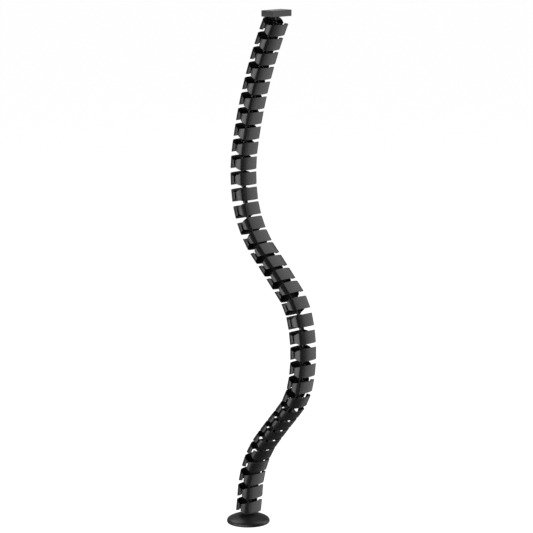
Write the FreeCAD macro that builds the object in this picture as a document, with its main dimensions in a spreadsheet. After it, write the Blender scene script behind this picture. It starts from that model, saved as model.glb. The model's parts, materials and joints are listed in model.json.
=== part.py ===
import FreeCAD, Part
import math
import os

import Sketcher

# Cable spine: a chain of moulded vertebrae that stands on a weighted foot and ends in a desk plate.
# Each vertebra snaps onto the ball of the one below. Sizes are in millimetres and degrees.
# X lies in the plane of the S bend, Y runs from slit to slit, Z is up, and the origin is under the foot.

SIZES = [
    # vertebra: an oval ring of two C-shaped walls
    ("SectionDepth", 39.9),
    ("SectionWidth", 58.9),
    ("CornerRadius", 11.6),
    ("FaceRadius", 112.0),
    ("WallThickness", 2.2),
    ("WallHeight", 28.8),
    ("SlitWidth", 4.2),
    ("NotchDrop", 6.8),
    ("NotchHalfWidth", 17.2),
    # vertebra: web and spindle in the middle
    ("WebThickness", 2.4),
    ("WebHeight", 20.0),
    ("HubRadius", 5.6),
    ("HubTop", 9.0),
    ("StemRadius", 2.1),
    # ball and cup of every joint
    ("LinkPitch", 36.0),
    ("BallRadius", 3.7),
    ("BallClearance", 0.06),
    ("LipDepth", 2.0),
    ("LipChamfer", 0.7),
    ("FingerSlot", 1.6),
    ("FingerLength", 4.6),
    # desk plate
    ("PlateDepth", 34.0),
    ("PlateWidth", 61.0),
    ("PlateHeight", 14.0),
    ("PlateCorner", 1.2),
    ("PlateWall", 2.6),
    ("PlateGap", 6.2),
    ("PlateCupRadius", 6.1),
    ("PlateLipDepth", 1.4),
    ("ScrewSpacing", 44.0),
    ("ScrewHoleRadius", 2.2),
    ("ScrewHeadRadius", 4.4),
    ("ScrewBossRadius", 5.6),
    ("RibThickness", 2.0),
    # foot: cover, weight, pad and screw
    ("FootRadius", 49.2),
    ("FootRimHeight", 2.8),
    ("FootShoulder", 8.0),
    ("FootRise", 18.7),
    ("FootWall", 2.5),
    ("FootPivotHeight", 23.1),
    ("WellRadius", 13.0),
    ("WellFloor", 15.6),
    ("FootBossRadius", 6.5),
    ("FootBossEnd", 6.0),
    ("WeightClearance", 0.3),
    ("PadInset", 1.0),
    ("PadThickness", 1.6),
    ("FootScrewRadius", 2.4),
    ("FootScrewHeadRadius", 4.6),
    ("FootScrewHeadHeight", 2.6),
    ("FootScrewLength", 8.0),
    ("PilotSpare", 0.4),
    # how far a cut runs past the face that it opens
    ("CutSpare", 1.0),
    # pose of the spine: lean of the top vertebra from upright, towards +X
    ("TopLean", 26.3),
]

# From the plate down: how many joints bend alike, and by how much each leans the next vertebra back.
STRETCHES = [
    ("Shoulder", 8, 2.04),
    ("UpperBack", 3, 6.0),
    ("UpperBend", 3, 9.3),
    ("UpperTurn", 1, 9.2),
    ("Slope", 3, -0.6),
    ("MiddleBend", 2, -14.3),
    ("Waist", 4, -7.1),
    ("LowerBend", 2, -13.3),
    ("LowerTurn", 1, -1.8),
    ("LowerSlope", 2, 1.3),
    ("Heel", 4, 8.4),
    ("Ankle", 1, -1.5),
]

doc = FreeCAD.newDocument("CableSpine")
sheet = doc.addObject("Spreadsheet::Sheet", "Sizes")


def fill_sheet():
    rows = list(SIZES)
    for name, count, bend in STRETCHES:
        rows.append((name + "Joints", count))
        rows.append((name + "Bend", bend))
    for row, (alias, number) in enumerate(rows, start=1):
        sheet.set("A%d" % row, alias)
        sheet.set("B%d" % row, str(number))
        sheet.setAlias("B%d" % row, alias)
    doc.recompute()


def value(text):
    """The number that an expression of sheet sizes comes to."""
    result = sheet.evalExpression(text)
    return float(getattr(result, "Value", result))


# Helpers for bodies, sketches and features


def new_body(name):
    body = doc.addObject("PartDesign::Body", name)
    body.Label = name
    return body


def origin_part(body, role):
    return next(item for item in body.Origin.OriginFeatures if item.Role == role)


def new_sketch(body, role, name):
    sketch = body.newObject("Sketcher::SketchObject", name)
    sketch.AttachmentSupport = (origin_part(body, role), [""])
    sketch.MapMode = "FlatFace"
    return sketch


def bind(sketch, constraint, text):
    index = sketch.addConstraint(constraint)
    sketch.setExpression("Constraints[%d]" % index, text)


def place_point(sketch, edge, end, x_text, y_text):
    """Ties one end of an edge to the sketch's origin by two bound distances."""
    if x_text == "0":
        sketch.addConstraint(Sketcher.Constraint("PointOnObject", edge, end, -2))
    else:
        bind(sketch, Sketcher.Constraint("DistanceX", -1, 1, edge, end, value(x_text)), x_text)
    if y_text == "0":
        sketch.addConstraint(Sketcher.Constraint("PointOnObject", edge, end, -1))
    else:
        bind(sketch, Sketcher.Constraint("DistanceY", -1, 1, edge, end, value(y_text)), y_text)


def add_polygon(sketch, corners):
    """A closed outline through corners given as pairs of expressions."""
    points = [FreeCAD.Vector(value(x), value(y), 0) for x, y in corners]
    first = sketch.GeometryCount
    count = len(points)
    for i in range(count):
        sketch.addGeometry(Part.LineSegment(points[i], points[(i + 1) % count]))
    for i in range(count):
        after = first + (i + 1) % count
        sketch.addConstraint(Sketcher.Constraint("Coincident", first + i, 2, after, 1))
    for i, (x, y) in enumerate(corners):
        place_point(sketch, first + i, 1, x, y)


def add_rectangle(sketch, x_low, x_high, y_low, y_high):
    add_polygon(sketch, [(x_low, y_low), (x_high, y_low), (x_high, y_high), (x_low, y_high)])


def add_circle(sketch, x_text, y_text, radius_text):
    centre = FreeCAD.Vector(value(x_text), value(y_text), 0)
    circle = Part.Circle(centre, FreeCAD.Vector(0, 0, 1), value(radius_text))
    index = sketch.addGeometry(circle)
    place_point(sketch, index, 3, x_text, y_text)
    bind(sketch, Sketcher.Constraint("Radius", index, value(radius_text)), radius_text)


def extrude(body, kind, sketch, name, length_text, side="Symmetric"):
    """A Pad or Pocket of a sketch, to both sides of its plane unless said otherwise."""
    feature = body.newObject("PartDesign::" + kind, name)
    feature.Profile = sketch
    feature.SideType = side
    feature.setExpression("Length", length_text)
    sketch.Visibility = False
    return feature


def turn(body, kind, sketch, name):
    """A Revolution or Groove of a sketch about the body's Z axis."""
    feature = body.newObject("PartDesign::" + kind, name)
    feature.Profile = sketch
    feature.ReferenceAxis = (origin_part(body, "Z_Axis"), [""])
    feature.Angle = 360
    sketch.Visibility = False
    return feature


def add_ball(body, kind, name, radius_text, height_text):
    ball = body.newObject("PartDesign::" + kind, name)
    ball.setExpression("Radius", radius_text)
    ball.setExpression("Placement.Base.z", height_text)
    return ball


# Vertebra


def arc_ends(centre, radius, start, end):
    """An arc by its centre and its two ends, in the direction of growing angle."""
    first = math.atan2(start.y - centre.y, start.x - centre.x)
    last = math.atan2(end.y - centre.y, end.x - centre.x)
    if last < first:
        last += 2 * math.pi
    circle = Part.Circle(centre, FreeCAD.Vector(0, 0, 1), radius)
    return Part.ArcOfCircle(circle, first, last)


def add_oval(sketch, inset):
    """The section of the ring: bulged long faces at +X and -X, flat short faces, round corners."""
    depth = "Sizes.SectionDepth / 2 - %s" % inset
    width = "Sizes.SectionWidth / 2 - %s" % inset
    corner = "Sizes.CornerRadius - %s" % inset
    face = "Sizes.FaceRadius - %s" % inset
    setback = "Sizes.FaceRadius - Sizes.SectionDepth / 2"
    half_depth, half_width = value(depth), value(width)
    corner_radius, face_radius = value(corner), value(face)
    away = value(setback)
    corner_y = half_width - corner_radius
    corner_x = math.sqrt((face_radius - corner_radius) ** 2 - corner_y**2) - away
    reach = face_radius / (face_radius - corner_radius)
    vector = FreeCAD.Vector
    first = sketch.GeometryCount
    meets = {}
    for sx in (1, -1):
        for sy in (1, -1):
            face_centre = vector(-sx * away, 0, 0)
            corner_centre = vector(sx * corner_x, sy * corner_y, 0)
            meets[sx, sy] = face_centre + (corner_centre - face_centre) * reach
    long_right = arc_ends(vector(-away, 0, 0), face_radius, meets[1, -1], meets[1, 1])
    long_left = arc_ends(vector(away, 0, 0), face_radius, meets[-1, 1], meets[-1, -1])

    def corner_arc(sx, sy, start, end):
        return arc_ends(vector(sx * corner_x, sy * corner_y, 0), corner_radius, start, end)

    top_right, top_left = vector(corner_x, half_width, 0), vector(-corner_x, half_width, 0)
    low_right, low_left = vector(corner_x, -half_width, 0), vector(-corner_x, -half_width, 0)
    edges = [
        long_right,
        corner_arc(1, 1, meets[1, 1], top_right),
        Part.LineSegment(top_right, top_left),
        corner_arc(-1, 1, top_left, meets[-1, 1]),
        long_left,
        corner_arc(-1, -1, meets[-1, -1], low_left),
        Part.LineSegment(low_left, low_right),
        corner_arc(1, -1, low_right, meets[1, -1]),
    ]
    for edge in edges:
        sketch.addGeometry(edge)
    for i in range(8):
        after = first + (i + 1) % 8
        sketch.addConstraint(Sketcher.Constraint("Tangent", first + i, 2, after, 1))
    for i in (2, 6):
        sketch.addConstraint(Sketcher.Constraint("Horizontal", first + i))
    for i in (3, 5, 7):
        sketch.addConstraint(Sketcher.Constraint("Equal", first + 1, first + i))
    sketch.addConstraint(Sketcher.Constraint("Equal", first, first + 4))
    for i in (0, 4):
        sketch.addConstraint(Sketcher.Constraint("PointOnObject", first + i, 3, -1))
    bind(sketch, Sketcher.Constraint("Radius", first + 1, corner_radius), corner)
    bind(sketch, Sketcher.Constraint("Radius", first, face_radius), face)
    bind(sketch, Sketcher.Constraint("DistanceX", first, 3, -1, 1, away), setback)
    bind(sketch, Sketcher.Constraint("DistanceX", -1, 1, first + 4, 3, away), setback)
    bind(sketch, Sketcher.Constraint("DistanceY", -1, 1, first + 2, 1, half_width), width)
    bind(sketch, Sketcher.Constraint("DistanceY", first + 6, 1, -1, 1, half_width), width)


def cut_cup(body, pivot_text, lip_text, outer_text):
    """The ball seat of a cup and the crossed slots that leave four springy fingers."""
    add_ball(
        body, "SubtractiveSphere", "BallSeat", "Sizes.BallRadius + Sizes.BallClearance", pivot_text
    )
    half_slot = "Sizes.FingerSlot / 2"
    low = "%s - %s - Sizes.CutSpare" % (pivot_text, lip_text)
    high = "%s + Sizes.FingerLength" % pivot_text
    for role, name in (("XZ_Plane", "SlotAcross"), ("YZ_Plane", "SlotAlong")):
        sketch = new_sketch(body, role, name + "Sketch")
        add_rectangle(sketch, "-" + half_slot, half_slot, low, high)
        extrude(body, "Pocket", sketch, name, "2 * (%s + Sizes.CutSpare)" % outer_text)


def make_vertebra():
    """One moulding: the slit ring, its web, and a spindle with a cup below and a ball above."""
    body = new_body("vertebra_pattern")
    ring = new_sketch(body, "XY_Plane", "RingSketch")
    add_oval(ring, "0")
    add_oval(ring, "Sizes.WallThickness")
    extrude(body, "Pad", ring, "Ring", "Sizes.WallHeight")

    slit = new_sketch(body, "XZ_Plane", "SlitSketch")
    half_slit = "Sizes.SlitWidth / 2"
    edge = "Sizes.WallHeight / 2"
    beyond = "Sizes.WallHeight / 2 + Sizes.CutSpare"
    through = "Sizes.SectionWidth + 2 * Sizes.CutSpare"
    add_rectangle(slit, "-" + half_slit, half_slit, "-(%s)" % beyond, beyond)
    extrude(body, "Pocket", slit, "Slits", through)

    # each short face drops towards its slit, above and below
    notch = new_sketch(body, "XZ_Plane", "NotchSketch")
    for sign in ("", "-"):
        side = "%s(%s)" % (sign, edge)
        floor = "%s(%s - Sizes.NotchDrop)" % (sign, edge)
        outside = "%s(%s)" % (sign, beyond)
        add_polygon(
            notch,
            [
                ("-Sizes.NotchHalfWidth", side),
                ("-" + half_slit, floor),
                (half_slit, floor),
                ("Sizes.NotchHalfWidth", side),
                ("Sizes.NotchHalfWidth", outside),
                ("-Sizes.NotchHalfWidth", outside),
            ],
        )
    extrude(body, "Pocket", notch, "Notches", through)

    web = new_sketch(body, "XY_Plane", "WebSketch")
    web_end = "(Sizes.SectionDepth - Sizes.WallThickness) / 2"
    half_web = "Sizes.WebThickness / 2"
    add_rectangle(web, "-" + web_end, web_end, "-" + half_web, half_web)
    extrude(body, "Pad", web, "Web", "Sizes.WebHeight")

    spindle = new_sketch(body, "XZ_Plane", "SpindleSketch")
    pivot = "Sizes.LinkPitch / 2"
    low = "-(%s + Sizes.LipDepth)" % pivot
    taper = "Sizes.HubTop + Sizes.HubRadius - Sizes.StemRadius"
    add_polygon(
        spindle,
        [
            ("0", low),
            ("Sizes.HubRadius - Sizes.LipChamfer", low),
            ("Sizes.HubRadius", low + " + Sizes.LipChamfer"),
            ("Sizes.HubRadius", "Sizes.HubTop"),
            ("Sizes.StemRadius", taper),
            ("Sizes.StemRadius", pivot),
            ("0", pivot),
        ],
    )
    turn(body, "Revolution", spindle, "Spindle")
    add_ball(body, "AdditiveSphere", "Ball", "Sizes.BallRadius", pivot)
    cut_cup(body, "-(%s)" % pivot, "Sizes.LipDepth", "Sizes.HubRadius")
    return body


# Desk plate


def make_plate():
    """A flat moulding, hollow below, with a cup for the top ball and two countersunk screw holes."""
    body = new_body("desk_plate")
    low = "Sizes.PlateGap"
    high = "(Sizes.PlateGap + Sizes.PlateHeight)"
    half_depth = "Sizes.PlateDepth / 2"
    half_width = "Sizes.PlateWidth / 2"

    block = new_sketch(body, "XZ_Plane", "BlockSketch")
    corner = "Sizes.PlateCorner"
    add_polygon(
        block,
        [
            ("-(%s)" % half_depth, low),
            (half_depth, low),
            (half_depth, "%s - %s" % (high, corner)),
            ("%s - %s" % (half_depth, corner), high),
            ("-(%s - %s)" % (half_depth, corner), high),
            ("-(%s)" % half_depth, "%s - %s" % (high, corner)),
        ],
    )
    extrude(body, "Pad", block, "Block", "Sizes.PlateWidth")

    hollow = new_sketch(body, "XZ_Plane", "HollowSketch")
    inside = "(%s - Sizes.PlateWall)" % half_depth
    below = low + " - Sizes.CutSpare"
    add_rectangle(hollow, "-" + inside, inside, below, high + " - Sizes.PlateWall")
    extrude(body, "Pocket", hollow, "Hollow", "Sizes.PlateWidth - 2 * Sizes.PlateWall")

    rib = new_sketch(body, "YZ_Plane", "RibSketch")
    rib_end = "(%s - Sizes.PlateWall / 2)" % half_width
    rib_top = high + " - Sizes.PlateWall / 2"
    add_rectangle(rib, "-" + rib_end, rib_end, low, rib_top)
    extrude(body, "Pad", rib, "LongRib", "Sizes.RibThickness")
    cross = new_sketch(body, "XZ_Plane", "CrossRibSketch")
    cross_end = "(%s - Sizes.PlateWall / 2)" % half_depth
    add_rectangle(cross, "-" + cross_end, cross_end, low, rib_top)
    extrude(body, "Pad", cross, "CrossRib", "Sizes.RibThickness")

    cup = new_sketch(body, "XZ_Plane", "CupSketch")
    add_polygon(
        cup,
        [
            ("0", "-Sizes.PlateLipDepth"),
            ("Sizes.PlateCupRadius - Sizes.LipChamfer", "-Sizes.PlateLipDepth"),
            ("Sizes.PlateCupRadius", "Sizes.LipChamfer - Sizes.PlateLipDepth"),
            ("Sizes.PlateCupRadius", rib_top),
            ("0", rib_top),
        ],
    )
    turn(body, "Revolution", cup, "Cup")

    for side, sign in (("Left", "-"), ("Right", "")):
        place = "%sSizes.ScrewSpacing / 2" % sign
        boss = body.newObject("PartDesign::AdditiveCylinder", side + "Boss")
        boss.setExpression("Radius", "Sizes.ScrewBossRadius")
        boss.setExpression("Height", "Sizes.PlateHeight - Sizes.PlateWall / 2")
        boss.setExpression("Placement.Base.y", place)
        boss.setExpression("Placement.Base.z", low)
        hole = body.newObject("PartDesign::SubtractiveCylinder", side + "Hole")
        hole.setExpression("Radius", "Sizes.ScrewHoleRadius")
        hole.setExpression("Height", "Sizes.PlateHeight + 2 * Sizes.CutSpare")
        hole.setExpression("Placement.Base.y", place)
        hole.setExpression("Placement.Base.z", below)
        sink = body.newObject("PartDesign::SubtractiveCone", side + "Countersink")
        sink.setExpression("Radius1", "Sizes.ScrewHeadRadius")
        sink.setExpression("Radius2", "Sizes.ScrewHoleRadius")
        sink.setExpression("Height", "Sizes.ScrewHeadRadius - Sizes.ScrewHoleRadius")
        sink.setExpression("Placement.Base.y", place)
        sink.setExpression("Placement.Base.z", low)
    cut_cup(body, "0", "Sizes.PlateLipDepth", "Sizes.PlateCupRadius")
    return body


# Foot


# The foot's dome is a wide crown about a centre on the axis and a tighter shoulder that meets the rim
# upright: the distance of the shoulder's centre from the axis, the crown's radius and its centre's height.
SHOULDER_CENTRE = "(Sizes.FootRadius - Sizes.FootShoulder)"
CROWN_RADIUS = "((%s ^ 2 + Sizes.FootRise ^ 2 - Sizes.FootShoulder ^ 2) / (2 * %s))" % (
    SHOULDER_CENTRE,
    "(Sizes.FootRise - Sizes.FootShoulder)",
)
CROWN_CENTRE = "(Sizes.FootRimHeight + Sizes.FootRise - %s)" % CROWN_RADIUS


def crown_height(radius_text, inset_text):
    """Height of the crown, or of a surface inset from it, at a radius from the axis."""
    return "(%s + sqrt((%s - %s) ^ 2 - (%s) ^ 2))" % (
        CROWN_CENTRE,
        CROWN_RADIUS,
        inset_text,
        radius_text,
    )


def add_dome(sketch, outer, inner, inset_text, inner_radius_text):
    """Joins the rim's line to an inner line of a profile with the shoulder and the crown, or with
    arcs inset from them. Each line is given as its edge number and end."""
    vector = FreeCAD.Vector
    shoulder_radius = value("Sizes.FootShoulder - %s" % inset_text)
    crown_radius = value("%s - %s" % (CROWN_RADIUS, inset_text))
    share = "(%s - %s) / (%s - Sizes.FootShoulder)" % (CROWN_RADIUS, inset_text, CROWN_RADIUS)
    meet_radius = "%s * %s" % (SHOULDER_CENTRE, share)
    meet_height = "%s + (Sizes.FootRimHeight - %s) * %s" % (CROWN_CENTRE, CROWN_CENTRE, share)
    crown_centre = vector(0, value(CROWN_CENTRE), 0)
    shoulder_centre = vector(value(SHOULDER_CENTRE), value("Sizes.FootRimHeight"), 0)
    rim = shoulder_centre + vector(shoulder_radius, 0, 0)
    meet = vector(value(meet_radius), value(meet_height), 0)
    top = vector(value(inner_radius_text), value(crown_height(inner_radius_text, inset_text)), 0)
    shoulder = sketch.addGeometry(arc_ends(shoulder_centre, shoulder_radius, rim, meet))
    crown = sketch.addGeometry(arc_ends(crown_centre, crown_radius, meet, top))
    sketch.addConstraint(Sketcher.Constraint("Coincident", shoulder, 1, *outer))
    sketch.addConstraint(Sketcher.Constraint("Coincident", shoulder, 2, crown, 1))
    sketch.addConstraint(Sketcher.Constraint("Coincident", crown, 2, *inner))
    place_point(sketch, shoulder, 2, meet_radius, meet_height)
    bind(
        sketch,
        Sketcher.Constraint("DistanceY", -1, 1, shoulder, 3, shoulder_centre.y),
        "Sizes.FootRimHeight",
    )
    sketch.addConstraint(Sketcher.Constraint("PointOnObject", crown, 3, -2))


def add_open_run(sketch, corners):
    """A run of joined lines through corners given as pairs of expressions; returns its edge numbers."""
    points = [FreeCAD.Vector(value(x), value(y), 0) for x, y in corners]
    first = sketch.GeometryCount
    for start, end in zip(points, points[1:]):
        sketch.addGeometry(Part.LineSegment(start, end))
    last = first + len(points) - 2
    for i in range(first, last):
        sketch.addConstraint(Sketcher.Constraint("Coincident", i, 2, i + 1, 1))
    for i, (x, y) in enumerate(corners[:-1]):
        place_point(sketch, first + i, 1, x, y)
    place_point(sketch, last, 2, *corners[-1])
    return first, last


def make_foot_cover():
    """The round cover: a dome with a rim, a well for the lowest cup, a ball stud and a screw boss."""
    body = new_body("foot_cover")
    profile = new_sketch(body, "XZ_Plane", "CoverSketch")
    wall = "Sizes.FootWall"
    inner_radius = "(Sizes.FootRadius - %s)" % wall
    well_outside = "(Sizes.WellRadius + %s)" % wall
    stem_top = "Sizes.FootPivotHeight"
    under_floor = "(Sizes.WellFloor - %s)" % wall
    top_run = add_open_run(
        profile,
        [
            ("Sizes.WellRadius", crown_height("Sizes.WellRadius", "0")),
            ("Sizes.WellRadius", "Sizes.WellFloor"),
            ("Sizes.StemRadius", "Sizes.WellFloor"),
            ("Sizes.StemRadius", stem_top),
            ("0", stem_top),
            ("0", "Sizes.FootBossEnd"),
            ("Sizes.FootBossRadius", "Sizes.FootBossEnd"),
            ("Sizes.FootBossRadius", under_floor),
            (well_outside, under_floor),
            (well_outside, crown_height(well_outside, wall)),
        ],
    )
    rim_run = add_open_run(
        profile,
        [
            (inner_radius, "Sizes.FootRimHeight"),
            (inner_radius, "Sizes.PadThickness"),
            ("Sizes.FootRadius", "Sizes.PadThickness"),
            ("Sizes.FootRadius", "Sizes.FootRimHeight"),
        ],
    )
    add_dome(profile, (rim_run[1], 2), (top_run[0], 1), "0", "Sizes.WellRadius")
    add_dome(profile, (rim_run[0], 1), (top_run[1], 2), wall, well_outside)
    turn(body, "Revolution", profile, "Cover")
    add_ball(body, "AdditiveSphere", "FootBall", "Sizes.BallRadius", stem_top)
    pilot = body.newObject("PartDesign::SubtractiveCylinder", "Pilot")
    pilot.setExpression("Radius", "Sizes.FootScrewRadius")
    screw_tip = "Sizes.PadThickness + Sizes.FootScrewHeadHeight + Sizes.FootScrewLength"
    pilot.setExpression("Height", "%s + Sizes.PilotSpare - Sizes.FootBossEnd" % screw_tip)
    pilot.setExpression("Placement.Base.z", "Sizes.FootBossEnd")
    return body


def make_foot_weight():
    """A cast disc that fills the cover, domed like it, with a hole for the boss and a sunk screw head."""
    body = new_body("foot_weight")
    profile = new_sketch(body, "XZ_Plane", "WeightSketch")
    low = "Sizes.PadThickness"
    head_top = "(%s + Sizes.FootScrewHeadHeight)" % low
    hole = "(Sizes.FootScrewRadius + Sizes.WeightClearance)"
    sink = "(Sizes.FootScrewHeadRadius + Sizes.WeightClearance)"
    boss_hole = "(Sizes.FootBossRadius + Sizes.WeightClearance)"
    boss_seat = "Sizes.FootBossEnd"
    inset = "(Sizes.FootWall + Sizes.WeightClearance)"
    high = "(Sizes.WellFloor - %s)" % inset
    top_radius = "sqrt((%s - %s) ^ 2 - (%s - %s) ^ 2)" % (CROWN_RADIUS, inset, high, CROWN_CENTRE)
    edge_radius = "(Sizes.FootRadius - %s)" % inset
    run = add_open_run(
        profile,
        [
            (top_radius, high),
            (boss_hole, high),
            (boss_hole, boss_seat),
            (hole, boss_seat),
            (hole, head_top),
            (sink, head_top),
            (sink, low),
            (edge_radius, low),
            (edge_radius, "Sizes.FootRimHeight"),
        ],
    )
    add_dome(profile, (run[1], 2), (run[0], 1), inset, top_radius)
    turn(body, "Revolution", profile, "Weight")
    return body


def make_foot_pad():
    body = new_body("foot_pad")
    profile = new_sketch(body, "XY_Plane", "PadSketch")
    add_circle(profile, "0", "0", "Sizes.FootRadius - Sizes.PadInset")
    extrude(body, "Pad", profile, "Pad", "Sizes.PadThickness", "One side")
    return body


def make_foot_screw():
    """The pan-head screw that holds the weight to the cover's boss; its shank fills the pilot hole."""
    body = new_body("foot_screw")
    profile = new_sketch(body, "XZ_Plane", "ScrewSketch")
    low = "Sizes.PadThickness"
    head_top = "(%s + Sizes.FootScrewHeadHeight)" % low
    tip = "(%s + Sizes.FootScrewLength)" % head_top
    add_polygon(
        profile,
        [
            ("0", low),
            ("Sizes.FootScrewHeadRadius", low),
            ("Sizes.FootScrewHeadRadius", head_top),
            ("Sizes.FootScrewRadius", head_top),
            ("Sizes.FootScrewRadius", "%s - Sizes.FootScrewRadius" % tip),
            ("0", tip),
        ],
    )
    turn(body, "Revolution", profile, "Screw")
    return body


# The spine's pose


def spine_leans():
    """The lean of each vertebra from upright, from the top one down, in degrees."""
    leans = [value("Sizes.TopLean")]
    for name, _, _ in STRETCHES:
        for _ in range(int(value("Sizes.%sJoints" % name))):
            leans.append(leans[-1] - value("Sizes.%sBend" % name))
    return leans


def leaning(lean):
    return FreeCAD.Rotation(FreeCAD.Vector(0, 1, 0), lean)


def build():
    fill_sheet()
    pattern = make_vertebra()
    plate = make_plate()
    kept = [plate, make_foot_cover(), make_foot_weight(), make_foot_pad(), make_foot_screw()]
    doc.recompute()

    leans = spine_leans()
    pitch = value("Sizes.LinkPitch")
    pivot = FreeCAD.Vector(0, 0, value("Sizes.FootPivotHeight"))
    for number in range(len(leans), 0, -1):
        rotation = leaning(leans[number - 1])
        centre = pivot + rotation.multVec(FreeCAD.Vector(0, 0, pitch / 2))
        name = "vertebra_%02d" % number
        vertebra = doc.addObject("Part::Feature", name)
        vertebra.Label = name
        vertebra.Shape = pattern.Shape
        vertebra.Placement = FreeCAD.Placement(centre, rotation)
        kept.append(vertebra)
        pivot = pivot + rotation.multVec(FreeCAD.Vector(0, 0, pitch))
    plate.Placement = FreeCAD.Placement(pivot, FreeCAD.Rotation())
    doc.recompute()
    return kept


def check_and_write(kept):
    for item in doc.Objects:
        if "Invalid" in item.State or "Error" in item.State:
            raise RuntimeError("%s did not recompute: %s" % (item.Name, item.State))
    for item in kept:
        if item.Shape.isNull() or not item.Shape.isValid() or len(item.Shape.Solids) != 1:
            raise RuntimeError("%s is not one valid solid" % item.Label)
    os.makedirs("parts", exist_ok=True)
    for item in kept:
        item.Shape.exportStep("parts/%s.step" % item.Label)
        print(item.Label, "volume %.0f" % item.Shape.Volume)


check_and_write(build())
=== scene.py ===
import json
import math

import bmesh
import bpy
import numpy as np
from mathutils import Matrix, Vector


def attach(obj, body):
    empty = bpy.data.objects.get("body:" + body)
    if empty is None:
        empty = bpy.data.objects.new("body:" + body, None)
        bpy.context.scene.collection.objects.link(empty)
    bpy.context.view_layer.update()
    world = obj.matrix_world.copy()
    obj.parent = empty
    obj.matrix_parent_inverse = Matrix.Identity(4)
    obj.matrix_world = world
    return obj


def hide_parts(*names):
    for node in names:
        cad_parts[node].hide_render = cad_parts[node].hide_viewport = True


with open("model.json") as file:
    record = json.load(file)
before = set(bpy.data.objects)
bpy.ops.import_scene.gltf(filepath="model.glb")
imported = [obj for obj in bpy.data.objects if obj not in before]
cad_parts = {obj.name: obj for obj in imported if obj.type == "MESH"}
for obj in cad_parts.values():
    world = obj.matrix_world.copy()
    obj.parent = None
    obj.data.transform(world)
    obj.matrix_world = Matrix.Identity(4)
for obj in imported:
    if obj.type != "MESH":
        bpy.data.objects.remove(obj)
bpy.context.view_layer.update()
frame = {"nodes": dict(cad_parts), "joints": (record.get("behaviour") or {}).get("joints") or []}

MM = 0.001

# Vertebra, in millimetres, as in the part's source
SECTION_DEPTH = 39.9
SECTION_WIDTH = 58.9
CORNER_RADIUS = 11.6
FACE_RADIUS = 112.0
WALL = 2.2
WALL_HEIGHT = 28.8
WALL_EDGE = 0.55
SLIT = 4.2
NOTCH_DROP = 6.8
NOTCH_HALF = 17.2
WEB = 2.4
WEB_HEIGHT = 20.0
WEB_FILLET = 1.1
HUB_RADIUS = 5.6
HUB_TOP = 9.0
STEM_RADIUS = 2.1
PITCH = 36.0
BALL_RADIUS = 3.7
BALL_CLEARANCE = 0.06
LIP = 2.0
LIP_CHAMFER = 0.7
FINGER_SLOT = 1.6
FINGER_LENGTH = 4.6
CUTTER_SPARE = 1.0
# Desk plate
PLATE_DEPTH = 34.0
PLATE_WIDTH = 61.0
PLATE_HEIGHT = 14.0
PLATE_WALL = 2.6
PLATE_CORNER = 1.2
PLATE_GAP = 6.2
PLATE_CUP = 6.1
PLATE_LIP = 1.4
SCREW_SPACING = 44.0
SCREW_HOLE = 2.2
SCREW_HEAD = 4.4
SCREW_BOSS = 5.6
RIB = 2.0
# Foot
FOOT_RADIUS = 49.2
FOOT_RIM = 2.8
FOOT_SHOULDER = 8.0
FOOT_RISE = 18.7
FOOT_WALL = 2.5
FOOT_PIVOT = 23.1
WELL_RADIUS = 13.0
WELL_FLOOR = 15.6
WELL_FILLET = 1.2
WELL_EDGE = 0.8
RIM_EDGE = 0.4
BOSS_RADIUS = 6.5
BOSS_END = 6.0
PAD_INSET = 1.0
PAD_RADIUS = FOOT_RADIUS - PAD_INSET
PAD_THICKNESS = 1.6
PILOT_RADIUS = 2.4
PILOT_TOP = 12.6


# Mesh helpers: all lengths in millimetres until new_object


def arc(centre, radius, first, last, steps):
    """Points on an arc, angles in degrees."""
    angles = np.radians(np.linspace(first, last, steps + 1))
    return [(centre[0] + radius * math.cos(a), centre[1] + radius * math.sin(a)) for a in angles]


def rounded(corners, radii, steps=3):
    """A closed outline with each corner replaced by an arc of its radius."""
    out = []
    count = len(corners)
    for i, radius in enumerate(radii):
        p = np.array(corners[i], float)
        a = np.array(corners[i - 1], float) - p
        b = np.array(corners[(i + 1) % count], float) - p
        len_a, len_b = np.linalg.norm(a), np.linalg.norm(b)
        a, b = a / len_a, b / len_b
        if radius <= 0:
            out += [tuple(p)] * (steps + 1)
            continue
        half = math.acos(max(-1.0, min(1.0, float(a @ b)))) / 2
        reach = min(radius / math.tan(half), 0.49 * len_a, 0.49 * len_b)
        radius = reach * math.tan(half)
        centre = p + (a + b) / np.linalg.norm(a + b) * (radius / math.sin(half))
        start, end = p + a * reach - centre, p + b * reach - centre
        first = math.atan2(start[1], start[0])
        swing = math.atan2(end[1], end[0]) - first
        swing = (swing + math.pi) % (2 * math.pi) - math.pi
        for k in range(steps + 1):
            angle = first + swing * k / steps
            out.append((centre[0] + radius * math.cos(angle), centre[1] + radius * math.sin(angle)))
    return out


def loft(sections):
    """A closed shell through sections of equal point counts, capped at both ends."""
    verts = [p for section in sections for p in section]
    n, m = len(sections), len(sections[0])
    faces = []
    for i in range(n - 1):
        here, there = i * m, (i + 1) * m
        for j in range(m):
            k = (j + 1) % m
            faces.append((here + j, here + k, there + k, there + j))
    faces.append(tuple(range(m - 1, -1, -1)))
    faces.append(tuple(range((n - 1) * m, n * m)))
    return verts, faces


def turned(outline, segments):
    """A solid turned from a closed outline of (radius, height) pairs, which may touch the axis."""
    verts, faces = [], []
    m = len(outline)
    for i in range(segments):
        a = 2 * math.pi * i / segments
        verts += [(r * math.cos(a), r * math.sin(a), z) for r, z in outline]
    for i in range(segments):
        here, there = i * m, (i + 1) % segments * m
        for j in range(m):
            k = (j + 1) % m
            if outline[j][0] < 1e-6 and outline[k][0] < 1e-6:
                continue
            faces.append((here + j, there + j, there + k, here + k))
    return verts, faces


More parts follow.
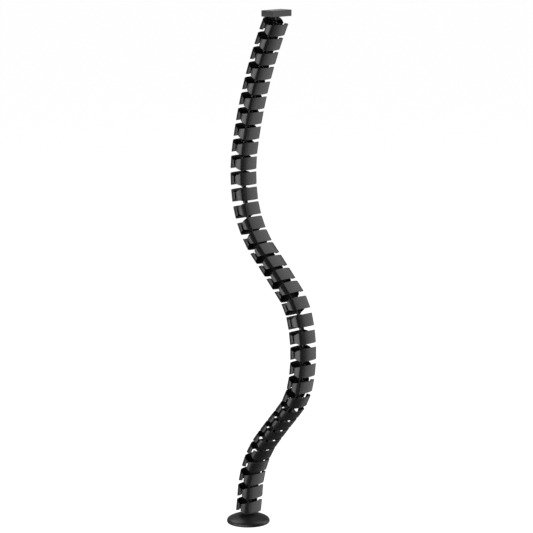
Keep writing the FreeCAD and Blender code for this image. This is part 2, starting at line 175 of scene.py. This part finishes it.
def make_mesh(shells, name="shell"):
    """One bmesh-cleaned mesh of several closed shells."""
    bm = bmesh.new()
    for verts, faces in shells:
        made = [bm.verts.new(v) for v in verts]
        for face in faces:
            try:
                bm.faces.new([made[i] for i in face])
            except ValueError:
                pass
    bmesh.ops.remove_doubles(bm, verts=bm.verts, dist=1e-4)
    bmesh.ops.dissolve_degenerate(bm, edges=bm.edges, dist=1e-5)
    bmesh.ops.recalc_face_normals(bm, faces=bm.faces)
    mesh = bpy.data.meshes.new(name)
    bm.to_mesh(mesh)
    bm.free()
    return mesh


def pillow(low, high, radius, segments=3):
    """A box between two corners with rounded edges."""
    bm = bmesh.new()
    bmesh.ops.create_cube(bm, size=1)
    size = Vector(high) - Vector(low)
    centre = (Vector(high) + Vector(low)) / 2
    for v in bm.verts:
        v.co = Vector((v.co.x * size.x, v.co.y * size.y, v.co.z * size.z)) + centre
    if radius > 0:
        bmesh.ops.bevel(
            bm, geom=bm.edges[:], offset=radius, segments=segments, profile=0.5, affect="EDGES"
        )
    verts = [tuple(v.co) for v in bm.verts]
    faces = [tuple(v.index for v in f.verts) for f in bm.faces]
    bm.free()
    return verts, faces


def cut(mesh, cutters):
    """The mesh less every cutter shell, by exact booleans."""
    body = bpy.data.objects.new("body_to_cut", mesh)
    bpy.context.scene.collection.objects.link(body)
    tools = []
    for shell in cutters:
        tool = bpy.data.objects.new("cutter", make_mesh([shell]))
        bpy.context.scene.collection.objects.link(tool)
        tools.append(tool)
        modifier = body.modifiers.new("cut", "BOOLEAN")
        modifier.operation = "DIFFERENCE"
        modifier.solver = "EXACT"
        modifier.object = tool
    bpy.context.view_layer.update()
    result = bpy.data.meshes.new_from_object(
        body.evaluated_get(bpy.context.evaluated_depsgraph_get())
    )
    for item in [body] + tools:
        bpy.data.objects.remove(item)
    return result


def shell_of(mesh):
    """The points and faces of a mesh, as the shell makers give them."""
    return [tuple(v.co) for v in mesh.vertices], [tuple(p.vertices) for p in mesh.polygons]


def new_object(name, mesh, matrix, body, nodes, material, sharp=38):
    """Places a millimetre mesh in the frame and hands it to its body in place of CAD nodes."""
    mesh = mesh.copy()
    mesh.name = name
    mesh.transform(Matrix.Scale(MM, 4) @ matrix)
    mesh.polygons.foreach_set("use_smooth", [True] * len(mesh.polygons))
    mesh.set_sharp_from_angle(angle=math.radians(sharp))
    mesh.materials.clear()
    mesh.materials.append(material)
    item = bpy.data.objects.new(name, mesh)
    bpy.context.scene.collection.objects.link(item)
    even = item.modifiers.new("even_normals", "WEIGHTED_NORMAL")
    even.keep_sharp = True
    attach(item, body)
    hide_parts(*nodes)
    return item


# Vertebra


def notch_height(x):
    """Height of the wall's upper edge above its middle, at a distance from the slit's plane."""
    share = (NOTCH_HALF - abs(x)) / (NOTCH_HALF - SLIT / 2)
    return WALL_HEIGHT / 2 - NOTCH_DROP * max(0.0, min(1.0, share))


def oval_stations():
    """Points of half the oval with their outward normals, from one slit round to the other."""
    away = FACE_RADIUS - SECTION_DEPTH / 2
    corner_y = SECTION_WIDTH / 2 - CORNER_RADIUS
    corner_x = math.sqrt((FACE_RADIUS - CORNER_RADIUS) ** 2 - corner_y**2) - away
    meet = math.degrees(math.atan2(corner_y, corner_x + away))
    kink = math.degrees(math.acos((NOTCH_HALF - corner_x) / CORNER_RADIUS))
    inner_kink = math.degrees(math.acos((NOTCH_HALF + away) / (FACE_RADIUS - WALL)))
    turn = sorted(set(list(np.linspace(90, meet, 14)) + [kink]), reverse=True)
    quarter = [(SLIT / 2 + 0.9, SECTION_WIDTH / 2, 0.0, 1.0)]
    for a in np.radians(turn):
        c, s = math.cos(a), math.sin(a)
        quarter.append((corner_x + CORNER_RADIUS * c, corner_y + CORNER_RADIUS * s, c, s))
    face = []
    for a in np.radians(sorted(list(np.linspace(meet, 0, 6)[1:]) + [inner_kink], reverse=True)):
        c, s = math.cos(a), math.sin(a)
        face.append((-away + FACE_RADIUS * c, FACE_RADIUS * s, c, s))
    half = quarter + face
    return half + [(x, -y, nx, -ny) for x, y, nx, ny in reversed(half[:-1])]


def wall_section(station, inset, shift=0.0):
    """The wall's rounded cross-section at a station, shrunk by an inset for the wall's ends."""
    x, y, nx, ny = station
    x += shift
    xi, yi = x - nx * WALL, y - ny * WALL
    top_out, top_in = notch_height(x), notch_height(xi)
    corners = [
        (-inset, -top_out + inset),
        (-inset, top_out - inset),
        (inset - WALL, top_in - inset),
        (inset - WALL, -top_in + inset),
    ]
    edge = max(0.02, WALL_EDGE - inset)
    outline = rounded(corners, [edge, edge, edge * 0.8, edge * 0.8])
    return [(x + nx * d, y + ny * d, z) for d, z in outline]


def make_wall():
    """One C-shaped wall with round rims and round ends at the slits."""
    stations = oval_stations()
    first, last = stations[0], stations[-1]
    ends = []
    for a in np.radians([0, 30, 60, 90]):
        ends.append((WALL_EDGE - WALL_EDGE * math.sin(a), WALL_EDGE - WALL_EDGE * math.cos(a)))
    sections = []
    for distance, inset in reversed(ends):
        sections.append(wall_section(first, inset, SLIT / 2 + distance - first[0]))
    sections += [wall_section(s, 0.0) for s in stations]
    for distance, inset in ends:
        sections.append(wall_section(last, inset, SLIT / 2 + distance - last[0]))
    return loft(sections)


def make_web(side):
    """One half of the web, flared where it meets the wall and the hub."""
    reach = (SECTION_DEPTH - WALL) / 2
    inner_wall = SECTION_DEPTH / 2 - WALL
    fillet, hub_side = WEB_FILLET, HUB_RADIUS - 0.1
    stops = [HUB_RADIUS - 1.2]
    stops += [hub_side + fillet * t for t in (0, 0.12, 0.3, 0.55, 1.0)]
    stops += [inner_wall - fillet * t for t in (1.0, 0.55, 0.3, 0.12, 0)]
    stops += [reach]
    sections = []
    for x in stops:
        gap = min(x - hub_side, inner_wall - x)
        gap = max(0.0, min(fillet, gap))
        flare = fillet - math.sqrt(fillet**2 - (fillet - gap) ** 2)
        half = WEB / 2 + flare
        high = WEB_HEIGHT / 2
        outline = rounded(
            [(-half, -high), (half, -high), (half, high), (-half, high)], [0.5] * 4
        )
        sections.append([(side * x, y, z) for y, z in outline])
    return loft(sections)


def crossed_slots(pivot, lip, outer):
    """Two crossed slots that part a cup's rim into four fingers."""
    low, high = pivot - lip - CUTTER_SPARE, pivot + FINGER_LENGTH
    half, reach = FINGER_SLOT / 2, outer + CUTTER_SPARE
    return [
        pillow((-reach, -half, low), (reach, half, high), 0),
        pillow((-half, -reach, low), (half, reach, high), 0),
    ]


def ball_shell(radius, height, segments, rings):
    """A ball on the Z axis."""
    outline = [(0.0, height - radius)]
    for i in range(1, rings):
        a = math.pi * i / rings - math.pi / 2
        outline.append((radius * math.cos(a), height + radius * math.sin(a)))
    outline.append((0.0, height + radius))
    return turned(outline, segments)


def make_spindle():
    """Hub, neck and ball in one, with the cup cut into its foot."""
    pivot = PITCH / 2
    low = -(pivot + LIP)
    neck_low = HUB_TOP + HUB_RADIUS - STEM_RADIUS
    meet = math.degrees(math.acos(STEM_RADIUS / BALL_RADIUS))
    outline = [(0.0, low)]
    outline += rounded(
        [
            (0.0, low),
            (HUB_RADIUS - LIP_CHAMFER, low),
            (HUB_RADIUS, low + LIP_CHAMFER),
            (HUB_RADIUS, HUB_TOP),
            (STEM_RADIUS, neck_low),
            (STEM_RADIUS, pivot),
        ],
        [0, 0.25, 0.25, 0.9, 0.7, 0],
    )[4:-4]
    outline += arc((0, pivot), BALL_RADIUS, -meet, 90, 14)
    outline[-1] = (0.0, pivot + BALL_RADIUS)
    solid = make_mesh([turned(outline, 40)])
    seat = ball_shell(BALL_RADIUS + BALL_CLEARANCE, -pivot, 40, 20)
    return cut(solid, [seat] + crossed_slots(-pivot, LIP, HUB_RADIUS))


def make_vertebra():
    """Two walls, the web's two halves and the spindle, as one mesh."""
    wall = make_wall()
    verts, faces = wall
    other = [(-x, -y, z) for x, y, z in verts], faces
    return make_mesh([wall, other, make_web(1), make_web(-1), shell_of(make_spindle())])


# Desk plate


def make_plate():
    """The hollow plate with its ribs, screw bosses, countersinks and cup."""
    x, y = PLATE_DEPTH / 2, PLATE_WIDTH / 2
    low, high = PLATE_GAP, PLATE_GAP + PLATE_HEIGHT
    block = make_mesh([pillow((-x, -y, low), (x, y, high), PLATE_CORNER, 4)])
    ix, iy = x - PLATE_WALL, y - PLATE_WALL
    ceiling = high - PLATE_WALL
    hollow = pillow((-ix, -iy, low - 4), (ix, iy, ceiling), 0.6)
    holes = []
    under, over = low - CUTTER_SPARE, high + CUTTER_SPARE
    for side in (-1, 1):
        verts, faces = turned(
            [(0.0, under), (SCREW_HOLE, under), (SCREW_HOLE, over), (0.0, over)], 32
        )
        holes.append(([(a, b + side * SCREW_SPACING / 2, c) for a, b, c in verts], faces))
    shell = cut(block, [hollow] + holes)

    parts = [shell_of(shell)]
    rib_top = high - PLATE_WALL / 2
    ry, rx = y - PLATE_WALL / 2, x - PLATE_WALL / 2
    inner = SCREW_SPACING / 2 - SCREW_BOSS + 0.6
    outer = SCREW_SPACING / 2 + SCREW_BOSS - 0.6
    for side in (-1, 1):
        for near, far in ((PLATE_CUP - 0.8, inner), (outer, ry)):
            a, b = sorted((side * near, side * far))
            parts.append(pillow((-RIB / 2, a, low), (RIB / 2, b, rib_top), 0.3, 2))
        a, b = sorted((side * (PLATE_CUP - 0.8), side * rx))
        parts.append(pillow((a, -RIB / 2, low), (b, RIB / 2, rib_top), 0.3, 2))
        sink = SCREW_HEAD - SCREW_HOLE
        verts, faces = turned(
            rounded(
                [
                    (SCREW_HEAD, low),
                    (SCREW_BOSS, low),
                    (SCREW_BOSS, rib_top),
                    (SCREW_HOLE, rib_top),
                    (SCREW_HOLE, low + sink),
                ],
                [0.15, 0.3, 0, 0, 0.15],
            ),
            40,
        )
        parts.append(([(u, v + side * SCREW_SPACING / 2, w) for u, v, w in verts], faces))
    cup = make_mesh(
        [
            turned(
                [(0.0, -PLATE_LIP)]
                + rounded(
                    [
                        (0.0, -PLATE_LIP),
                        (PLATE_CUP - LIP_CHAMFER, -PLATE_LIP),
                        (PLATE_CUP, LIP_CHAMFER - PLATE_LIP),
                        (PLATE_CUP, rib_top),
                        (0.0, rib_top),
                    ],
                    [0, 0.25, 0.25, 0, 0],
                )[4:-4]
                + [(0.0, rib_top)],
                48,
            )
        ]
    )
    seat = ball_shell(BALL_RADIUS + BALL_CLEARANCE, 0, 40, 20)
    cup = cut(cup, [seat] + crossed_slots(0, PLATE_LIP, PLATE_CUP))
    parts.append(shell_of(cup))
    return make_mesh(parts)


# Foot

SHOULDER_CENTRE = FOOT_RADIUS - FOOT_SHOULDER
CROWN_RADIUS = (SHOULDER_CENTRE**2 + FOOT_RISE**2 - FOOT_SHOULDER**2) / (
    2 * (FOOT_RISE - FOOT_SHOULDER)
)
CROWN_CENTRE = FOOT_RIM + FOOT_RISE - CROWN_RADIUS


def dome(inner, inset, crown_steps, shoulder_steps):
    """Points of the foot's dome, or of a surface inset from it, from an inner radius to the rim."""
    crown, shoulder = CROWN_RADIUS - inset, FOOT_SHOULDER - inset
    meet = math.degrees(math.atan2(FOOT_RIM - CROWN_CENTRE, SHOULDER_CENTRE))
    start = math.degrees(math.acos(inner / crown))
    points = arc((0, CROWN_CENTRE), crown, start, meet, crown_steps)
    return points[:-1] + arc((SHOULDER_CENTRE, FOOT_RIM), shoulder, meet, 0, shoulder_steps)


def make_cover():
    """The domed cover: round rim and well edge, ball stud, screw boss and inner side."""
    inner_radius = FOOT_RADIUS - FOOT_WALL
    well_outside = WELL_RADIUS + FOOT_WALL
    under = WELL_FLOOR - FOOT_WALL
    meet = math.degrees(math.acos(STEM_RADIUS / BALL_RADIUS))
    outline = arc((0, FOOT_PIVOT), BALL_RADIUS, 90, -meet, 14)
    outline[0] = (0.0, FOOT_PIVOT + BALL_RADIUS)
    outline += arc((STEM_RADIUS + WELL_EDGE, WELL_FLOOR + WELL_EDGE), WELL_EDGE, 180, 270, 4)
    outline += arc((WELL_RADIUS - WELL_FILLET, WELL_FLOOR + WELL_FILLET), WELL_FILLET, -90, 0, 5)
    top = dome(WELL_RADIUS + WELL_EDGE, 0, 34, 12)
    outline += arc((WELL_RADIUS + WELL_EDGE, top[0][1] - WELL_EDGE), WELL_EDGE, 180, 90, 4)[:-1]
    outline += top
    outline += arc((FOOT_RADIUS - RIM_EDGE, PAD_THICKNESS + RIM_EDGE), RIM_EDGE, 0, -90, 3)
    outline += [(inner_radius, PAD_THICKNESS)]
    outline += reversed(dome(well_outside, FOOT_WALL, 20, 8))
    outline += [
        (well_outside, under),
        (BOSS_RADIUS, under),
        (BOSS_RADIUS, BOSS_END),
        (PILOT_RADIUS, BOSS_END),
        (PILOT_RADIUS, PILOT_TOP),
        (0.0, PILOT_TOP),
    ]
    return make_mesh([turned(outline, 128)])


def make_pad():
    """The rubber disc under the foot."""
    outline = [(0.0, 0.0)]
    outline += rounded(
        [
            (0.0, 0.0),
            (PAD_RADIUS, 0.0),
            (PAD_RADIUS, PAD_THICKNESS),
            (0.0, PAD_THICKNESS),
        ],
        [0, 0.5, 0.3, 0],
    )[4:-4]
    outline += [(0.0, PAD_THICKNESS)]
    return make_mesh([turned(outline, 128)])


# Materials


def node(tree, kind, x, y, **inputs):
    """A node at a place in its tree, with its inputs set by name."""
    made = tree.nodes.new(kind)
    made.location = (x, y)
    for key, value in inputs.items():
        made.inputs[key.replace("_", " ")].default_value = value
    return made


def moulded_plastic(name, dark, light, smooth, rough, grain):
    """Satin black moulding: eroded grain, faint cloudy gloss and edges rubbed lighter."""
    material = bpy.data.materials.new(name)
    material.use_nodes = True
    tree = material.node_tree
    link = tree.links.new
    shader = tree.nodes["Principled BSDF"]
    shader.inputs["IOR"].default_value = 1.5
    place = node(tree, "ShaderNodeTexCoord", -1100, 0)

    clouds = node(tree, "ShaderNodeTexNoise", -850, 250, Scale=90.0, Detail=4.0, Roughness=0.6)
    link(place.outputs["Object"], clouds.inputs["Vector"])
    worn = node(tree, "ShaderNodeNewGeometry", -850, 520)
    edge = node(
        tree, "ShaderNodeMapRange", -650, 520, From_Min=0.53, From_Max=0.66, To_Max=0.55
    )
    link(worn.outputs["Pointiness"], edge.inputs["Value"])
    speckle = node(tree, "ShaderNodeTexNoise", -850, 780, Scale=420.0, Detail=3.0)
    link(place.outputs["Object"], speckle.inputs["Vector"])
    broken = node(tree, "ShaderNodeMath", -450, 620)
    broken.operation = "MULTIPLY"
    link(edge.outputs["Result"], broken.inputs[0])
    link(speckle.outputs["Fac"], broken.inputs[1])

    tint = node(
        tree, "ShaderNodeMapRange", -650, 250, From_Min=0.35, From_Max=0.65, To_Max=0.5
    )
    link(clouds.outputs["Fac"], tint.inputs["Value"])
    blend = node(tree, "ShaderNodeMath", -450, 350)
    blend.operation = "ADD"
    blend.use_clamp = True
    link(tint.outputs["Result"], blend.inputs[0])
    link(broken.outputs[0], blend.inputs[1])
    colour = node(tree, "ShaderNodeMix", -250, 300)
    colour.data_type = "RGBA"
    colour.inputs["A"].default_value = dark
    colour.inputs["B"].default_value = light
    link(blend.outputs[0], colour.inputs["Factor"])
    link(colour.outputs["Result"], shader.inputs["Base Color"])

    gloss = node(
        tree, "ShaderNodeMapRange", -450, 50,
        From_Min=0.3, From_Max=0.7, To_Min=smooth, To_Max=rough,
    )
    link(clouds.outputs["Fac"], gloss.inputs["Value"])
    link(gloss.outputs["Result"], shader.inputs["Roughness"])
    # painted shade: ambient occlusion lowers the specular level in recesses, so the inside of a
    # moulding reflects less and reads darker
    painted_shade_occlusion = node(tree, "ShaderNodeAmbientOcclusion", -650, -100, Distance=0.04)
    painted_shade_occlusion.samples = 4
    painted_shade_specular = node(
        tree, "ShaderNodeMapRange", -450, -100,
        From_Min=0.35, From_Max=0.8, To_Min=0.12, To_Max=0.5,
    )
    link(painted_shade_occlusion.outputs["AO"], painted_shade_specular.inputs["Value"])
    link(painted_shade_specular.outputs["Result"], shader.inputs["Specular IOR Level"])

    fine = node(tree, "ShaderNodeTexNoise", -850, -250, Scale=2600.0, Detail=2.0)
    pits = node(tree, "ShaderNodeTexVoronoi", -850, -500, Scale=1500.0)
    link(place.outputs["Object"], fine.inputs["Vector"])
    link(place.outputs["Object"], pits.inputs["Vector"])
    mixed = node(tree, "ShaderNodeMath", -600, -350)
    mixed.operation = "MULTIPLY_ADD"
    mixed.inputs[1].default_value = 0.4
    link(pits.outputs["Distance"], mixed.inputs[0])
    link(fine.outputs["Fac"], mixed.inputs[2])
    bump = node(tree, "ShaderNodeBump", -250, -250, Strength=grain, Distance=0.0001)
    link(mixed.outputs[0], bump.inputs["Height"])
    link(bump.outputs["Normal"], shader.inputs["Normal"])
    return material


def plain_metal(name, dark, light, roughness, rings):
    """Turned or cast steel: fine rings or cloudy skin, with rougher patches."""
    material = bpy.data.materials.new(name)
    material.use_nodes = True
    tree = material.node_tree
    link = tree.links.new
    shader = tree.nodes["Principled BSDF"]
    shader.inputs["Metallic"].default_value = 1.0
    place = node(tree, "ShaderNodeTexCoord", -1000, 0)
    skin = node(tree, "ShaderNodeTexNoise", -750, 150, Scale=240.0, Detail=5.0)
    link(place.outputs["Object"], skin.inputs["Vector"])
    colour = node(tree, "ShaderNodeMix", -300, 250)
    colour.data_type = "RGBA"
    colour.inputs["A"].default_value = dark
    colour.inputs["B"].default_value = light
    link(skin.outputs["Fac"], colour.inputs["Factor"])
    link(colour.outputs["Result"], shader.inputs["Base Color"])
    gloss = node(
        tree, "ShaderNodeMapRange", -450, 0, To_Min=roughness - 0.1, To_Max=roughness + 0.12
    )
    link(skin.outputs["Fac"], gloss.inputs["Value"])
    link(gloss.outputs["Result"], shader.inputs["Roughness"])
    lines = node(tree, "ShaderNodeTexWave", -750, -250, Scale=rings, Distortion=0.4)
    lines.wave_type = "RINGS"
    lines.rings_direction = "Z"
    link(place.outputs["Object"], lines.inputs["Vector"])
    bump = node(tree, "ShaderNodeBump", -300, -250, Strength=0.25, Distance=0.0001)
    link(lines.outputs["Fac"], bump.inputs["Height"])
    link(bump.outputs["Normal"], shader.inputs["Normal"])
    return material


vertebra_plastic = moulded_plastic(
    "vertebra_plastic", (0.014, 0.014, 0.0145, 1), (0.018, 0.018, 0.0185, 1), 0.25, 0.31, 0.04
)
plate_plastic = moulded_plastic(
    "plate_plastic", (0.015, 0.015, 0.0155, 1), (0.019, 0.019, 0.0195, 1), 0.26, 0.33, 0.05
)
foot_plastic = moulded_plastic(
    "foot_plastic", (0.013, 0.013, 0.0135, 1), (0.017, 0.017, 0.0175, 1), 0.36, 0.42, 0.04
)
pad_rubber = moulded_plastic(
    "pad_rubber", (0.012, 0.012, 0.012, 1), (0.022, 0.022, 0.022, 1), 0.7, 0.85, 0.5
)
weight_steel = plain_metal(
    "weight_steel", (0.30, 0.30, 0.31, 1), (0.45, 0.45, 0.46, 1), 0.5, 160.0
)
screw_steel = plain_metal(
    "screw_steel", (0.55, 0.55, 0.56, 1), (0.70, 0.70, 0.70, 1), 0.32, 600.0
)


# The chain: every vertebra goes between the two pivots that its joints state

pivots = [Vector(j["pos_m"]) / MM for j in frame["joints"]]
children = [j["child"] for j in frame["joints"]]
vertebra = make_vertebra()
for i in range(len(pivots) - 1):
    name = children[i]
    axis = pivots[i + 1] - pivots[i]
    lean = math.atan2(axis.x, axis.z)
    centre = (pivots[i] + pivots[i + 1]) / 2
    matrix = Matrix.Translation(centre) @ Matrix.Rotation(lean, 4, "Y")
    new_object(
        name + "_moulding", vertebra, matrix, name, [name], vertebra_plastic
    )

new_object(
    "desk_plate_moulding", make_plate(), Matrix.Translation(pivots[-1]), "desk_plate",
    ["desk_plate"], plate_plastic,
)
still = Matrix.Identity(4)
new_object(
    "foot_cover_moulding", make_cover(), still, "foot", ["foot_cover"], foot_plastic
)
new_object("foot_pad_disc", make_pad(), still, "foot", ["foot_pad"], pad_rubber)
for name, material in (("foot_weight", weight_steel), ("foot_screw", screw_steel)):
    solid = frame["nodes"][name]
    solid.data.materials.clear()
    solid.data.materials.append(material)


# Floor, lights, world and camera: metres, degrees and strengths

FLOOR_HALF = 40.0
FLOOR_WHITE = 0.985
FLOOR_DIFFUSE = 0.3
FLOOR_POLISH = 0.9
FLOOR_MIRRORED = 0.08
WALL_SIDE = (-0.707, 0.707, 0.0)
WALL_START = 0.5
WALL_FULL = 0.95
WALL_MIRRORED = 0.2
ROOM_MIRRORED = 0.06
ROOM_FILL = 0.03
CAMERA_LENS = 154.58
CAMERA_AZIMUTH = 44.864
CAMERA_DISTANCE = 5.067
CAMERA_HEIGHT = 1.5392
CAMERA_YAW = 0.473
CAMERA_PITCH = 10.540


def floor_material():
    """White to the camera, darkened where the object shades it, and polished to reflections."""
    material = bpy.data.materials.new("floor_white")
    material.use_nodes = True
    tree = material.node_tree
    link = tree.links.new
    for item in list(tree.nodes):
        tree.nodes.remove(item)
    out = node(tree, "ShaderNodeOutputMaterial", 600, 0)
    diffuse = node(tree, "ShaderNodeBsdfDiffuse", -200, -150)
    diffuse.inputs["Color"].default_value = (FLOOR_DIFFUSE, FLOOR_DIFFUSE, FLOOR_DIFFUSE, 1)
    glow = node(tree, "ShaderNodeEmission", -200, 150)
    glow.inputs["Color"].default_value = (1, 1, 1, 1)
    path = node(tree, "ShaderNodeLightPath", -800, 300)
    clear = node(tree, "ShaderNodeMath", -600, 300)
    clear.operation = "MAXIMUM"
    link(path.outputs["Is Camera Ray"], clear.inputs[0])
    link(path.outputs["Is Transmission Ray"], clear.inputs[1])
    seen = node(tree, "ShaderNodeMath", -400, 300)
    seen.operation = "MULTIPLY"
    seen.inputs[1].default_value = FLOOR_WHITE
    link(clear.outputs[0], seen.inputs[0])
    amount = node(tree, "ShaderNodeMath", -400, 100)
    amount.operation = "MULTIPLY_ADD"
    amount.inputs[1].default_value = FLOOR_MIRRORED
    link(path.outputs["Is Glossy Ray"], amount.inputs[0])
    link(seen.outputs[0], amount.inputs[2])
    link(amount.outputs[0], glow.inputs["Strength"])
    polish = node(tree, "ShaderNodeBsdfGlossy", 50, -200, Roughness=0.1)
    slant = node(tree, "ShaderNodeLayerWeight", -400, -350, Blend=0.5)
    sheen = node(
        tree, "ShaderNodeMapRange", -200, -350, From_Min=0.3, From_Max=0.45, To_Max=FLOOR_POLISH
    )
    link(slant.outputs["Facing"], sheen.inputs["Value"])
    link(sheen.outputs["Result"], polish.inputs["Color"])
    surface = node(tree, "ShaderNodeMixShader", 250, -100)
    link(path.outputs["Is Glossy Ray"], surface.inputs[0])
    link(diffuse.outputs[0], surface.inputs[1])
    link(polish.outputs[0], surface.inputs[2])
    total = node(tree, "ShaderNodeAddShader", 450, 0)
    link(surface.outputs[0], total.inputs[0])
    link(glow.outputs[0], total.inputs[1])
    link(total.outputs[0], out.inputs["Surface"])
    return material


def area_light(name, azimuth, elevation, distance, width, height, power, target):
    """A soft box that faces a target: azimuth 0 is on the side of -Y and 90 on the side of +X."""
    data = bpy.data.lights.new(name, "AREA")
    data.shape = "RECTANGLE"
    data.size, data.size_y = width, height
    data.energy = power
    light = bpy.data.objects.new(name, data)
    light.visible_camera = False
    a, e = math.radians(azimuth), math.radians(elevation)
    back = Vector((math.sin(a) * math.cos(e), -math.cos(a) * math.cos(e), math.sin(e)))
    light.location = Vector(target) + back * distance
    light.rotation_mode = "QUATERNION"
    light.rotation_quaternion = (-back).to_track_quat("-Z", "Y")
    bpy.context.scene.collection.objects.link(light)
    return light


corners = [(x * FLOOR_HALF, y * FLOOR_HALF, 0) for x, y in ((-1, -1), (1, -1), (1, 1), (-1, 1))]
floor_mesh = bpy.data.meshes.new("floor")
floor_mesh.from_pydata(corners, [], [(0, 1, 2, 3)])
floor = bpy.data.objects.new("floor", floor_mesh)
floor_mesh.materials.append(floor_material())
bpy.context.scene.collection.objects.link(floor)

world = bpy.data.worlds.new("studio")
bpy.context.scene.world = world
world.use_nodes = True
tree = world.node_tree
link = tree.links.new
background = tree.nodes["Background"]
background.inputs["Color"].default_value = (1, 1, 1, 1)
# reflections see a white wall behind the object and a dark room in front of it
place = node(tree, "ShaderNodeTexCoord", -1300, 0)
towards = node(tree, "ShaderNodeVectorMath", -1100, 0)
towards.operation = "DOT_PRODUCT"
towards.inputs[1].default_value = WALL_SIDE
link(place.outputs["Generated"], towards.inputs[0])
wall = node(
    tree, "ShaderNodeMapRange", -900, 0,
    From_Min=WALL_START, From_Max=WALL_FULL, To_Min=ROOM_MIRRORED, To_Max=WALL_MIRRORED,
)
wall.interpolation_type = "SMOOTHSTEP"
link(towards.outputs["Value"], wall.inputs["Value"])
path = node(tree, "ShaderNodeLightPath", -900, 400)
mirrored = node(tree, "ShaderNodeMix", -500, 100)
mirrored.data_type = "FLOAT"
mirrored.inputs["A"].default_value = ROOM_FILL
link(path.outputs["Is Glossy Ray"], mirrored.inputs["Factor"])
link(wall.outputs["Result"], mirrored.inputs["B"])
clear = node(tree, "ShaderNodeMath", -700, 400)
clear.operation = "MAXIMUM"
link(path.outputs["Is Camera Ray"], clear.inputs[0])
link(path.outputs["Is Transmission Ray"], clear.inputs[1])
strength = node(tree, "ShaderNodeMix", -250, 300)
strength.data_type = "FLOAT"
strength.inputs["B"].default_value = 1.0
link(clear.outputs[0], strength.inputs["Factor"])
link(mirrored.outputs["Result"], strength.inputs["A"])
link(strength.outputs["Result"], background.inputs["Strength"])

area_light("left_softbox", 1.5, 0, 2.5, 5.1, 0.98, 55, (0.05, 0.0, 0.49))
area_light("right_softbox", 150, 25, 2.5, 2.5, 4.2, 52, (0.05, 0.0, 0.6))
area_light("foot_softbox", -77, 50, 3.4, 1.8, 1.8, 38, (0.0, 0.0, 0.02))
area_light("rear_softbox", -130, 11, 2.5, 0.7, 0.5, 0.9, (0.15, 0.0, 1.17))

camera_data = bpy.data.cameras.new("camera")
camera_data.sensor_width = 36.0
camera_data.lens = CAMERA_LENS
camera_data.clip_end = 200
camera = bpy.data.objects.new("camera", camera_data)
bpy.context.scene.collection.objects.link(camera)
bpy.context.scene.camera = camera
yaw, pitch = math.radians(CAMERA_YAW), math.radians(CAMERA_PITCH)
view_from = math.radians(CAMERA_AZIMUTH)
ahead = Vector((math.sin(yaw), math.cos(yaw)))
flat = Vector(
    (
        ahead.x * math.cos(view_from) - ahead.y * math.sin(view_from),
        ahead.x * math.sin(view_from) + ahead.y * math.cos(view_from),
    )
)
forward = Vector((flat.x * math.cos(pitch), flat.y * math.cos(pitch), -math.sin(pitch)))
camera.location = (
    CAMERA_DISTANCE * math.sin(view_from), -CAMERA_DISTANCE * math.cos(view_from), CAMERA_HEIGHT
)
camera.rotation_mode = "QUATERNION"
camera.rotation_quaternion = forward.to_track_quat("-Z", "Y")

bpy.context.scene.view_settings.view_transform = "Standard"
